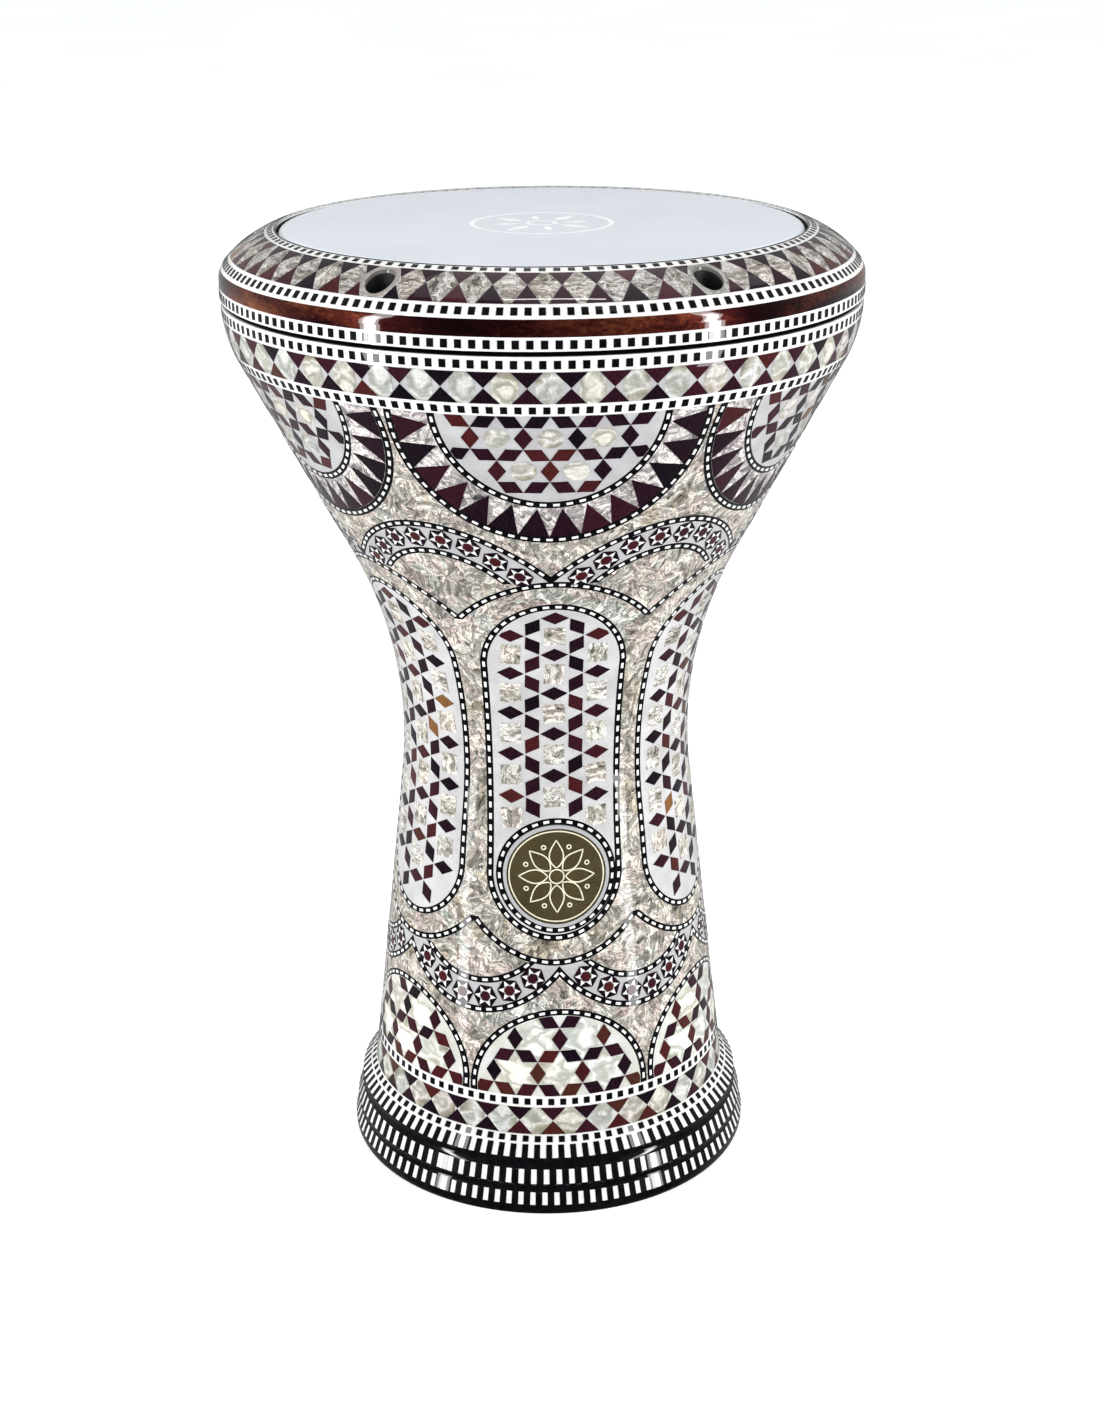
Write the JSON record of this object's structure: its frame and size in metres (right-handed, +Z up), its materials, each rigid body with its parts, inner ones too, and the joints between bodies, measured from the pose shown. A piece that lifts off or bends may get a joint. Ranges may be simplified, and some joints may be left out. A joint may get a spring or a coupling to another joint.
{
  "type": "goblet drum",
  "caption": "Goblet-shaped hand drum: an inlaid cast shell open at the foot, a film head on a hoop, and a clamping ring drawn down by recessed socket-head screws.",
  "frame": {"origin": "centre of the foot's underside, where the drum stands", "axes": "+Z up along the drum's axis, towards the head; the medallion faces -Y"},
  "size_m": [0.274, 0.274, 0.43],
  "materials": {
    "casting": "rough sand-cast aluminium, bare inside",
    "insert_steel": "machined steel",
    "head_film": "pale glossy polyester film",
    "hoop_aluminium": "satin extruded aluminium",
    "resin": "amber bonding resin",
    "dotted_strip": "white strip with black squares under clear lacquer",
    "diamond_inlay": "dark wood triangles and nacre diamonds under clear lacquer",
    "rosewood": "figured red-brown wood under clear lacquer",
    "pearl_tile": "nacre under clear lacquer",
    "stringing": "black stringing with white dashes under clear lacquer",
    "sunburst_inlay": "dark wood rays on nacre under clear lacquer",
    "star_inlay": "wood rhombi and nacre on pale resin under clear lacquer",
    "flower_inlay": "six-pointed flowers on pale resin under clear lacquer",
    "crushed_pearl": "crushed nacre under clear lacquer",
    "brass": "satin embossed brass",
    "bezel_metal": "bright pale metal",
    "bone_bars": "white bars under clear lacquer",
    "black_resin": "glossy black resin",
    "washer_steel": "zinc-plated steel",
    "screw_steel": "black-oxide steel"
  },
  "bodies": {
    "shell": {"shell": "casting", "thread_inserts": "insert_steel", "head_film": "head_film", "hoop_resin": "resin", "head_hoop": "hoop_aluminium", "shoulder_dotted_strip": "dotted_strip", "shoulder_diamond_band": "diamond_inlay", "bowl_dotted_strip": "dotted_strip", "scallop_stringing": "stringing", "scallop_sunbursts": "sunburst_inlay", "scallop_core_stringing": "stringing", "scallop_star_fields": "star_inlay", "arch_stringing": "stringing", "arch_flower_fields": "flower_inlay", "arch_core_stringing": "stringing", "halo_stringing": "stringing", "neck_stringing": "stringing", "neck_star_fields": "star_inlay", "low_halo_stringing": "stringing", "low_arch_stringing": "stringing", "low_arch_flower_fields": "flower_inlay", "low_arch_core_stringing": "stringing", "dome_stringing": "stringing", "dome_star_fields": "star_inlay", "pearl_ground": "crushed_pearl", "medallion": "brass", "medallion_bezel": "bezel_metal", "medallion_border": "stringing", "ankle_dotted_strip": "dotted_strip", "foot_diamond_band": "diamond_inlay", "foot_dotted_strip": "dotted_strip", "foot_bars_upper": "bone_bars", "foot_bars_middle": "bone_bars", "foot_bars_lower": "bone_bars", "foot_moulding": "black_resin"},
    "ring": {"tension_ring": "casting", "ring_lip_strip": "dotted_strip", "ring_diamond_band": "diamond_inlay", "screw_hole_tiles": "pearl_tile", "recess_linings": "black_resin", "ring_corner_strip": "dotted_strip", "ring_wood_band": "rosewood", "ring_lower_strip": "dotted_strip", "washers": "washer_steel"},
    "screw_1": {"tuning_screw_1": "screw_steel"},
    "screw_2": {"tuning_screw_2": "screw_steel"},
    "screw_3": {"tuning_screw_3": "screw_steel"},
    "screw_4": {"tuning_screw_4": "screw_steel"},
    "screw_5": {"tuning_screw_5": "screw_steel"},
    "screw_6": {"tuning_screw_6": "screw_steel"}
  },
  "joints": [
    {"name": "ring_lift", "type": "slide", "parent": "shell", "child": "ring", "axis": [0, 0, 1], "range_m": [0, 0.016]},
    {"name": "screw_1_turn", "type": "hinge", "parent": "ring", "child": "screw_1", "pos_m": [0.06309, -0.10733, 0.4126], "axis": [0, 0, 1], "range_deg": [0, 5765]},
    {"name": "screw_2_turn", "type": "hinge", "parent": "ring", "child": "screw_2", "pos_m": [0.1245, 0.00098, 0.4126], "axis": [0, 0, 1], "range_deg": [0, 5765]},
    {"name": "screw_3_turn", "type": "hinge", "parent": "ring", "child": "screw_3", "pos_m": [0.0614, 0.10831, 0.4126], "axis": [0, 0, 1], "range_deg": [0, 5765]},
    {"name": "screw_4_turn", "type": "hinge", "parent": "ring", "child": "screw_4", "pos_m": [-0.06309, 0.10733, 0.4126], "axis": [0, 0, 1], "range_deg": [0, 5765]},
    {"name": "screw_5_turn", "type": "hinge", "parent": "ring", "child": "screw_5", "pos_m": [-0.1245, -0.00098, 0.4126], "axis": [0, 0, 1], "range_deg": [0, 5765]},
    {"name": "screw_6_turn", "type": "hinge", "parent": "ring", "child": "screw_6", "pos_m": [-0.0614, -0.10831, 0.4126], "axis": [0, 0, 1], "range_deg": [0, 5765]}
  ],
  "couplings": [
    {"joint": "screw_1_turn", "follows": "ring_lift", "rad_per_m": 6283.2},
    {"joint": "screw_2_turn", "follows": "ring_lift", "rad_per_m": 6283.2},
    {"joint": "screw_3_turn", "follows": "ring_lift", "rad_per_m": 6283.2},
    {"joint": "screw_4_turn", "follows": "ring_lift", "rad_per_m": 6283.2},
    {"joint": "screw_5_turn", "follows": "ring_lift", "rad_per_m": 6283.2},
    {"joint": "screw_6_turn", "follows": "ring_lift", "rad_per_m": 6283.2}
  ]
}
